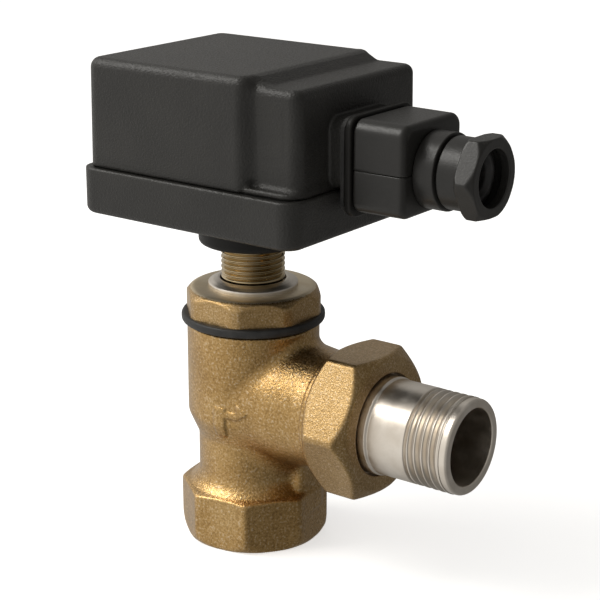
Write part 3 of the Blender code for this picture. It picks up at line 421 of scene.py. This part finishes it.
def make_looks():
    plated = {"streak": (0.05, 1, 1), "depth": 0.0035}
    return {
        "cast_brass": blasted_brass("brass_cast", (0.50, 0.305, 0.105), (0.57, 0.355, 0.128),
                                    (0.64, 0.42, 0.17), (0.95, 0.87, 0.72), grain=0.50, depth=0.12,
                                    rough=(0.27, 0.40)),
        "nut_brass": blasted_brass("brass_blasted", (0.49, 0.315, 0.122), (0.545, 0.355, 0.145),
                                   (0.60, 0.41, 0.185), (0.94, 0.86, 0.73), grain=0.38, depth=0.07,
                                   rough=(0.30, 0.42)),
        "satin_brass": machined_metal("brass_satin", (0.82, 0.69, 0.48), (0.94, 0.83, 0.64),
                                      (0.42, 0.50), (1, 1, 0.05), 0.006),
        "machined_brass": machined_metal("brass_machined", (0.45, 0.30, 0.13), (0.60, 0.42, 0.20),
                                         (0.26, 0.40), (1, 1, 0.05), 0.004),
        "nickel": machined_metal("nickel_plated", (0.80, 0.73, 0.64), (0.92, 0.86, 0.78),
                                 (0.30, 0.42), **plated),
        "neck_nickel": machined_metal("neck_plating", (0.48, 0.38, 0.22), (0.66, 0.54, 0.36),
                                      (0.10, 0.18), (1, 1, 0.1), 0.001),
        "black_plastic": moulded_plastic("plastic_grained", (0.0135, 0.0130, 0.0118),
                                         (0.0175, 0.0168, 0.0150), (0.33, 0.46), 0.15),
        "smooth_plastic": moulded_plastic("plastic_fine", (0.0115, 0.0110, 0.0100),
                                          (0.0150, 0.0143, 0.0130), (0.30, 0.42), 0.022),
        # painted shade: a darker copy of the black plastic, with less specular, for parts in shadow or
        # facing away from the light
        "painted_shade_plastic": moulded_plastic("plastic_painted_shade", (0.0060, 0.0057, 0.0050),
                                        (0.0085, 0.0080, 0.0072), (0.40, 0.52), 0.022, specular=0.2),
        "black_rubber": rubber(),
        "steel": machined_metal("steel_bright", (0.50, 0.50, 0.50), (0.62, 0.62, 0.61),
                                (0.22, 0.36), (1, 1, 0.08), 0.004),
        "white_gear": moulded_plastic("acetal_white", (0.68, 0.66, 0.58), (0.74, 0.72, 0.65),
                                      (0.35, 0.48), 0.006),
        "circuit_green": moulded_plastic("solder_mask", (0.015, 0.12, 0.045), (0.02, 0.16, 0.06),
                                         (0.25, 0.38), 0.008),
        "switch_red": moulded_plastic("button_red", (0.34, 0.035, 0.02), (0.42, 0.05, 0.03),
                                      (0.25, 0.36), 0.004),
        "motor_zinc": machined_metal("zinc_plated", (0.44, 0.44, 0.42), (0.58, 0.58, 0.55),
                                     (0.26, 0.42), (1, 1, 0.1), 0.006),
    }


LOOKS = make_looks()


def dress(obj, look, body, slot, *nodes):
    """Give a piece its material, its body and the CAD nodes that it stands for."""
    obj.data.materials.clear()
    obj.data.materials.append(LOOKS[look])
    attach(obj, body)
    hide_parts(*nodes)
    return obj


def paint_top(obj, look, height):
    """Give the faces that lie level above a height, in millimetres, a second material."""
    obj.data.materials.append(LOOKS[look])
    for face in obj.data.polygons:
        if face.center.z > height * MM and face.normal.z > 0.85:
            face.material_index = 1


# ---------------------------------------------------------------- valve body

BARREL = soft_profile([(8, 12.5), (16.4, 12.5), (24.3, 12.5), (29.6, 14.8), (52, 14.8)], 2.2)
FLARE = soft_profile([(-1, 15.2), (0, 15.5), (1.2, 16.45), (3.4, 17.1), (10.9, 17.2), (11.8, 16.8),
                      (12.5, 14.6), (14.0, 13.2), (15.4, 11.8), (18.5, 8.5)], 0.6)
SPIGOT = soft_profile([(3, 14.3), (14, 13.9), (20, 13.2), (22.7, 13.2), (22.9, 13.75), (24.2, 13.75),
                       (24.4, 13.1), (32, 13.1)], 0.7)
INLET_TURN = math.radians(-59.3)


def arrow_relief(x, y, z):
    """Height of the cast flow arrow: up the front of the barrel, then towards the outlet."""
    along = np.arctan2(y, x) * 15.0 + 19.8
    upright = rounded_rectangle(along, z, (-3.3, 26.9), (-0.4, 34.0), 0.5)
    arm = rounded_rectangle(along, z, (-3.3, 31.7), (2.8, 33.3), 0.3)
    head = np.maximum(np.maximum(2.4 - along, along - 4.6), np.abs(z - 33.6) - 1.9 + (along - 2.4) * 0.75)
    shape = np.minimum(np.minimum(upright, arm), head)
    return 0.40 * np.clip(0.5 - shape / 0.6, 0, 1) * (x * x + y * y < 18 * 18) * (y < 0)


def valve_body(x, y, z):
    reach = np.hypot(x, y)
    barrel = reach - BARREL(z)
    around = np.hypot(y, z - OUTLET_Z)
    outlet = np.maximum(around - SPIGOT(x), 2.0 - x)
    steepness = 1 - y * y / np.maximum(reach * around, 1)
    fillet = np.interp(z, (OUTLET_Z + 3, OUTLET_Z + 12), (5.0, 2.6))
    shape = join(barrel, outlet, fillet * np.clip(steepness, 0.03, 1))
    web = block((x, y, z), (3, -2.4, 8), (15.1, 6.0, 25), corner=1.6)
    shape = join(shape, web, 1.6)
    inlet = both(polygon_prism(x, y, 8, 16.9, INLET_TURN, 0.45), (reach - FLARE(z)) * 0.8, 0.45)
    shape = join(shape, both(inlet, z - 18.5), 1.2)
    shape = shape - arrow_relief(x, y, z)
    shape = both(shape, z - 50.4, 0.5)
    shape = both(shape, x - 30.8, 0.4)
    shape = both(shape, -z, 0.3)
    angle = np.arctan2(y, x)
    socket = 9.35 + 1.0 * thread_wave(z, angle, PIPE_PITCH) * ((z > 1.2) & (z < 11.4))
    socket = both(reach - socket - np.clip(1.0 - z, 0, 1) * 0.9, z - 12.4, 0.3)
    seat = both(reach - 6.5, span(z, 10, 24))
    chamber = both(reach - 11.5, 19.5 - z, 0.5)
    chamber = cut(chamber, both(both(reach - 7.9, z - 20.9, 0.3), 18 - z))
    bore = both(np.hypot(y, z - OUTLET_Z) - 8.0, 5 - x)
    hollow = join(join(socket, seat), join(chamber, bore, 0.8))
    return cut(shape, hollow, 0.25)


def make_valve_body():
    body = field_mesh("body_casting", valve_body, (-17.6, -17.6, 0), (30.8, 17.6, 50.4), 0.36)
    dress(body, "cast_brass", "valve", "cast_brass", "valve_body")


# ---------------------------------------------------------------- bonnet, gasket, ring and neck

def bonnet(x, y, z):
    reach = np.hypot(x, y)
    flats = polygon_prism(x, y, 8, 15.7, math.radians(22.5), 0.1)
    head = both(reach - 15.3, flats, 0.15)
    shoulder = (reach - 13.9 - (58.5 - z) * 0.78) * 0.79
    head = both(both(both(head, shoulder, 0.15), z - 58.5, 0.7), 52.2 - z, 0.2)
    shank = both(reach - 11.2, span(z, 44.6, 54))
    return cut(join(head, shank), reach - 6.9)


def make_bonnet():
    head = field_mesh("bonnet_head", bonnet, (-15.4, -15.4, 44.6), (15.4, 15.4, 58.5), 0.3)
    dress(head, "nut_brass", "valve", "machined_brass", "bonnet")
    paint_top(head, "satin_brass", 58.2)
    seal = turned("bonnet_ring", soften([
        (16.05, 52.75, 0.9), (16.05, 50.75, 0.9), (11.6, 50.75), (11.6, 52.75)], 0.3), steps=128)
    dress(seal, "black_rubber", "valve", "black_rubber", "bonnet_gasket")
    ring = turned("neck_ring", soften([
        (7.9, 60.3), (8.9, 60.0), (10.0, 59.4, 0.3), (10.0, 58.4), (7.35, 58.4), (7.35, 60.3)], 0.15),
        steps=128)
    dress(ring, "nickel", "valve", "nickel", "lock_ring")


def make_neck():
    steps = 96
    rows = [(5.0, 46.0), (5.0, 62.3), (2.4, 62.4), (2.4, 66.0), (4.0, 66.1), (4.0, 73.4), (4.1, 73.5),
            (6.4, 73.5), (6.7, 73.2)]
    rows += thread_rows(73.0, 60.7, 7.1, 6.38, NECK_PITCH, steps, (0.8, 0.8))
    rows += [(7.1, 60.5), (7.0, 60.4), (6.6, 60.4), (6.6, 46.1), (6.5, 46.0)]
    neck = turned("neck_thread", rows, steps=steps)
    dress(neck, "neck_nickel", "valve", "nickel", "threaded_neck")


# ---------------------------------------------------------------- union nut and tailpiece

def union_nut(x, y, z):
    reach = np.hypot(y, z - OUTLET_Z)
    shape = both(polygon_prism(y, z - OUTLET_Z, 6, 17.7, 0.0, 0.7), span(x, 24.3, 36.2), 0.2)
    front = (reach - 14.7 - (36.2 - x) * 1.2) * 0.64
    back = (reach - 14.7 - (x - 24.3) * 1.2) * 0.64
    shape = both(both(shape, front, 0.35), back, 0.35)
    hole = both(reach - 11.35, 30 - x)
    pocket = both(reach - 13.5 - 0.5 * thread_wave(x, np.arctan2(z - OUTLET_Z, y), PIPE_PITCH),
                  x - 34.5)
    return cut(shape, join(hole, pocket), 0.3)


def make_union():
    nut = field_mesh("union_hex", union_nut, (24.3, -17.7, OUTLET_Z - 17.7),
                     (36.2, 17.7, OUTLET_Z + 17.7), 0.32)
    dress(nut, "nut_brass", "union", "cast_brass", "union_nut")
    steps = 128
    rows = soften([(10.35, 55.9, 0.1), (10.35, 57.2, 0.2), (10.0, 57.7, 0.2), (8.6, 57.7, 0.1),
                   (8.35, 57.4, 0.1), (8.35, 32.6, 0.2), (12.9, 32.6, 0.2), (12.9, 34.2, 0.2),
                   (10.85, 34.2, 0.1), (10.85, 37.7, 0.15), (10.5, 38.2, 0.15), (10.5, 47.2, 0.2),
                   (9.55, 47.6, 0.1), (9.55, 47.9, 0.05)], 0.1)
    rows += thread_rows(55.8, 48.0, 10.48, 9.45, PIPE_PITCH, steps, (0.9, 0.7))[::-1]
    tail = turned("tail_tube", rows, steps=steps, along_x=True, z=OUTLET_Z)
    dress(tail, "nickel", "valve", "nickel", "tailpiece")


# ---------------------------------------------------------------- actuator casing

SCREWS = [sum(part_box(f"cover_screw_{index}"), Vector()) / 2 for index in (1, 2, 3, 4)]
SCREWS = [((place.x - SPINDLE.x) / MM, (place.y - SPINDLE.y) / MM) for place in SCREWS]


def base_tray(x, y, z):
    point = (x, y, z)
    reach = np.hypot(x, y)
    shape = block(point, (-28.9, -24.4, 75.6), (29.1, 24.4, 85.8), corner=4.2, top=0.28, bottom=1.6)
    shape = cut(shape, block(point, (-25.7, -21.2, 77.6), (25.9, 21.2, 95), corner=1.5), 0.3)
    groove = np.maximum(rounded_rectangle(x, y, (-27.4, -22.4), (27.6, 22.8), 3.0),
                        -rounded_rectangle(x, y, (-26.3, -21.8), (26.5, 21.8), 1.8))
    shape = cut(shape, both(groove, 84.6 - z))
    spigot = both(reach - 9.0, span(z, 70.5, 76.6))
    shape = cut(join(shape, spigot), both(reach - 7.4, z - 75.6))
    shape = cut(shape, both(8.3 - reach, both(reach - 10, span(z, 71.8, 73.0))))
    shape = cut(shape, both(reach - 4.0, span(z, 74, 79)))
    for place_x, place_y in SCREWS:
        reach = np.hypot(x - place_x, y - place_y)
        shape = join(shape, both(reach - 2.4, span(z, 76.5, 80.2)))
        shape = cut(shape, both(reach - 1.4, span(z, 75, 82)))
        shape = cut(shape, both(reach - 2.5, z - 76.9))
    return shape


def cover(x, y, z):
    point = (x, y, z)
    high = block(point, (-27.6, -23.1, 85.9), (16.6, 23.1, 109.5), corner=3.4, top=2.2, draft=0.014)
    low = block(point, (6, -20.7, 85.9), (27.9, 22.8, 107.6), corner=2.9, top=1.9, draft=0.012)
    ramp = ((x - 15.6) * 2.1 + (z - 109.4) * 4.0) / 4.52
    ramp = both(both(ramp, np.abs(y - 1.2) - 20.6, 2.2), np.maximum(13.6 - x, 95 - z))
    ramp = np.maximum(ramp, np.maximum(z - 109.2, x - 22.5))
    in_front = np.clip((-16.5 - y) / 3, 0, 1) * np.clip((z - 87.5) / 1.5, 0, 1)
    shape = join(join(high, ramp, 0.6), low, 1.8 * in_front)
    foot = block(point, (13, -22.6, 80), (27.9, 22.8, 87.1), corner=3.4, top=0.6)
    shape = join(shape, foot, 1.4 * np.clip((x - 17.0) / 1.5, 0, 1) * np.clip(-y / 3, 0.1, 1))
    shape = np.maximum(shape, z - 109.5)
    boss = block(point, (24, -10.2, 86.1), (31.1, 10.2, 101.0), corner=2.8, axis=0)
    shape = join(shape, both(boss, x - 31.1, 0.2), 0.4)
    shape = both(shape, 85.9 - z, 0.12)
    hollow = block(point, (-25.2, -20.7, 80), (13.6, 20.7, 107.1), corner=1.6)
    hollow = join(hollow, block(point, (8.4, -18.3, 80), (25.5, 20.4, 105.2), corner=1.2))
    hollow = join(hollow, block(point, (20, -7.3, 88.0), (33, 7.3, 98.4), corner=0.8, axis=0))
    shape = cut(shape, hollow, 0.2)
    for place_x, place_y in SCREWS:
        reach = np.hypot(x - place_x, y - place_y)
        shape = join(shape, both(reach - 2.4, span(z, 80.6, 106.5)))
        shape = cut(shape, both(reach - 1.4, span(z, 79, 92)))
    return shape


def make_casing():
    collar = turned("neck_collar", soften([
        (12.0, 75.3, 0.6), (12.0, 68.5, 1.2), (7.4, 68.5), (7.4, 70.1), (9.3, 70.1), (9.3, 71.8),
        (10.0, 71.8), (10.0, 73.0), (9.3, 73.0), (9.3, 75.3)], 0.1), steps=112)
    # painted shade: the collar gets the darkened plastic because it sits in the casing's shadow
    dress(collar, "painted_shade_plastic", "collar", "black_plastic", "coupling_collar")
    tray = field_mesh("casing_tray", base_tray, (-28.9, -24.4, 70.5), (29.1, 24.4, 85.8), 0.42)
    dress(tray, "black_plastic", "valve", "black_plastic", "base_tray")
    lid = field_mesh("casing_cover", cover, (-27.7, -23.2, 80.6), (31.1, 23.2, 109.5), 0.42)
    dress(lid, "black_plastic", "valve", "black_plastic", "cover")


# ---------------------------------------------------------------- connector and cable gland

BLADES = [[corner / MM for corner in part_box(name)] for name in
          ("blade_live", "blade_neutral", "blade_earth")]


def blade_slots(y, z):
    slots = None
    for low, high in BLADES:
        slot = np.maximum(span(y, low.y - 0.3, high.y + 0.3), span(z, low.z - 0.3, high.z + 0.3))
        slots = slot if slots is None else np.minimum(slots, slot)
    return slots


def connector_flange(x, y, z):
    point = (x, y, z)
    shape = block(point, (32.5, -11.6, 81.0), (34.0, 11.6, 102.0), corner=3.2, top=0.35, bottom=0.3,
                  axis=0)
    neck = block(point, (24.9, -7.0, 88.3), (33.2, 7.0, 98.1), corner=0.6, axis=0)
    return cut(join(shape, neck), blade_slots(y, z))


def plug_shell(x, y, z):
    point = (x, y, z)
    shape = block(point, (34.3, -10.9, 82.1), (46.3, 10.9, 101.4), corner=3.0, top=1.3, bottom=0.3,
                  axis=0, draft=0.01)
    shape = cut(shape, block(point, (33, -9.1, 83.9), (44.5, 9.1, 99.6), corner=1.5, axis=0))
    return cut(shape, np.hypot(y, z - PLUG_Z) - 6.2)


def upper_shell(x, y, z):
    return both(plug_shell(x, y, z), PLUG_Z + 0.04 - z, 0.07)


def lower_shell(x, y, z):
    return both(plug_shell(x, y, z), z - PLUG_Z + 0.04, 0.07)


def gland_nut(x, y, z):
    reach = np.hypot(y, z - PLUG_Z)
    sleeve = both(reach - 7.5, span(x, 51.6, 57.0), 0.3)
    head = polygon_prism(y, z - PLUG_Z, 6, 9.25, 0.0, 0.2)
    head = both(head, span(x, 56.4, 60.7), 0.15)
    head = both(head, (reach - 8.05 - (60.7 - x) * 0.9) * 0.74, 0.2)
    head = both(head, (reach - 8.5 - (x - 56.4) * 1.0) * 0.7, 0.2)
    mouth = both(reach - 5.95, 50 - x)
    inner = both(reach - 6.95, span(x, 50, 58.6))
    return cut(join(sleeve, head, 0.2), join(mouth, inner), 0.25)


def make_connector():
    flange = field_mesh("plug_flange", connector_flange, (24.9, -11.6, 81.0), (34.0, 11.6, 102.0), 0.3)
    # painted shade: the flange gets the darkened plastic because its face points away from the light
    dress(flange, "painted_shade_plastic", "valve", "black_plastic", "connector_base")
    for name, field, low, high in (("plug_shell_upper", upper_shell, PLUG_Z, 101.4),
                                   ("plug_shell_lower", lower_shell, 82.1, PLUG_Z)):
        half = field_mesh(name, field, (34.3, -10.9, low), (46.3, 10.9, high), 0.3)
        node = "connector_shell_upper" if name.endswith("upper") else "connector_shell_lower"
        dress(half, "smooth_plastic", "plug", "black_plastic", node)
    place = {"along_x": True, "z": PLUG_Z}
    body = turned("gland_base", soften([
        (6.3, 57.0), (6.6, 56.6), (6.6, 51.2), (8.05, 51.2, 0.3), (8.05, 46.6, 0.1), (5.9, 46.6),
        (5.9, 44.2), (7.2, 44.2), (7.2, 42.8), (4.4, 42.8), (4.4, 49.5), (5.5, 49.5), (5.5, 57.0)],
        0.1), steps=96, **place)
    dress(body, "smooth_plastic", "plug", "black_plastic", "gland_body")
    seal = turned("gland_grommet", soften([
        (5.2, 57.6), (5.2, 49.8), (3.6, 49.8), (3.6, 56.4), (4.4, 57.6)], 0.25), steps=80, **place)
    dress(seal, "black_rubber", "plug", "black_rubber", "gland_seal")
    nut = field_mesh("gland_hex", gland_nut, (51.6, -9.8, PLUG_Z - 9.8), (60.7, 9.8, PLUG_Z + 9.8), 0.22)
    dress(nut, "smooth_plastic", "gland", "black_plastic", "gland_nut")


def finish_inner_parts():
    """Materials for the CAD nodes that stay as they are."""
    for entry in frame["record"]["subparts"]:
        materials = frame["nodes"][entry["node"]].data.materials
        materials.clear()
        materials.append(LOOKS[entry["material_slot"]])


# ---------------------------------------------------------------- studio

def make_floor():
    mesh = bpy.data.meshes.new("studio_floor")
    reach = FLOOR_REACH
    mesh.from_pydata([(-reach, -reach, 0), (reach, -reach, 0), (reach, reach, 0), (-reach, reach, 0)],
                     [], [(0, 1, 2, 3)])
    floor = bpy.data.objects.new("studio_floor", mesh)
    bpy.context.scene.collection.objects.link(floor)
    look = Look("floor_pale", 0.6)
    shade = look.noise(400.0, detail=1)
    mesh.materials.append(look.finish(look.blend("MIX", shade, (0.90, 0.90, 0.90), (0.92, 0.92, 0.92))))
    look.shader.inputs["Emission Color"].default_value = (1, 1, 1, 1)
    look.shader.inputs["Emission Strength"].default_value = FLOOR_GLOW
    floor.visible_glossy = False


def area_light(name, azimuth, elevation, distance, size, power, colour=(1, 1, 1)):
    """Soft light that looks at the object; azimuth 0 stands in front, 90 at the outlet's side."""
    light = bpy.data.lights.new(name, "AREA")
    light.shape = "RECTANGLE"
    light.size, light.size_y = size
    light.energy = power
    light.color = colour
    around, up = math.radians(azimuth), math.radians(elevation)
    away = Vector((math.sin(around) * math.cos(up), -math.cos(around) * math.cos(up), math.sin(up)))
    lamp = bpy.data.objects.new(name, light)
    lamp.location = LIGHT_TARGET + away * distance
    lamp.rotation_euler = away.to_track_quat("Z", "Y").to_euler()
    bpy.context.scene.collection.objects.link(lamp)


STUDIO_GLOW = ((0.0, 0.17), (0.25, 0.19), (0.5, 0.33), (0.75, 0.66), (1.0, 0.90))


def make_lights():
    """A broad glow from the front left that fades towards the right, and a soft key light."""
    area_light("key", -56, 47, 0.8, (0.42, 0.42), 3.4, (1.0, 0.98, 0.94))
    world = bpy.data.worlds.new("studio_air")
    bpy.context.scene.world = world
    world.use_nodes = True
    tree = world.node_tree
    seen = tree.nodes["Background"]
    seen.inputs["Color"].default_value = (1, 1, 1, 1)
    seen.inputs["Strength"].default_value = 1.0
    around, up = math.radians(GLOW_AZIMUTH), math.radians(GLOW_ELEVATION)
    direction = tree.nodes.new("ShaderNodeTexCoord")
    facing = tree.nodes.new("ShaderNodeVectorMath")
    facing.operation = "DOT_PRODUCT"
    facing.inputs[1].default_value = (math.sin(around) * math.cos(up), -math.cos(around) * math.cos(up),
                                      math.sin(up))
    share = tree.nodes.new("ShaderNodeMapRange")
    share.inputs["From Min"].default_value = -1
    glow = tree.nodes.new("ShaderNodeValToRGB")
    while len(glow.color_ramp.elements) < len(STUDIO_GLOW):
        glow.color_ramp.elements.new(0.5)
    for element, (position, level) in zip(glow.color_ramp.elements, STUDIO_GLOW):
        element.position = position
        element.color = (level, 0.975 * level, 0.93 * level, 1)
    lit = tree.nodes.new("ShaderNodeBackground")
    path = tree.nodes.new("ShaderNodeLightPath")
    mix = tree.nodes.new("ShaderNodeMixShader")
    for output, socket in ((direction.outputs["Generated"], facing.inputs[0]),
                           (facing.outputs["Value"], share.inputs["Value"]),
                           (share.outputs["Result"], glow.inputs["Fac"]),
                           (glow.outputs["Color"], lit.inputs["Color"]),
                           (path.outputs["Is Camera Ray"], mix.inputs["Fac"]),
                           (lit.outputs["Background"], mix.inputs[1]),
                           (seen.outputs["Background"], mix.inputs[2]),
                           (mix.outputs["Shader"], tree.nodes["World Output"].inputs["Surface"])):
        tree.links.new(output, socket)


def make_camera():
    """Long lens, in front and to the right, a little above the casing."""
    azimuth, tilt, roll = math.radians(36.70), math.radians(17.48), math.radians(0.09)
    back = Vector((math.sin(azimuth) * math.cos(tilt), -math.cos(azimuth) * math.cos(tilt),
                   math.sin(tilt)))
    right = Vector((math.cos(azimuth), math.sin(azimuth), 0))
    turn = Matrix((right, back.cross(right), back)).transposed() @ Matrix.Rotation(roll, 3, "Z")
    camera = bpy.data.objects.new("camera", bpy.data.cameras.new("camera"))
    camera.data.sensor_width = 36
    camera.data.lens = 103.28
    camera.data.clip_start = 0.01
    place = Vector((227.24, -287.46, 170.08)) * MM + Vector((SPINDLE.x, SPINDLE.y, 0))
    camera.matrix_world = Matrix.Translation(place) @ turn.to_4x4()
    bpy.context.scene.collection.objects.link(camera)
    bpy.context.scene.camera = camera


make_camera()
finish_inner_parts()
make_valve_body()
make_bonnet()
make_neck()
make_union()
make_casing()
make_connector()
make_floor()
make_lights()
bpy.context.scene.view_settings.view_transform = "Standard"
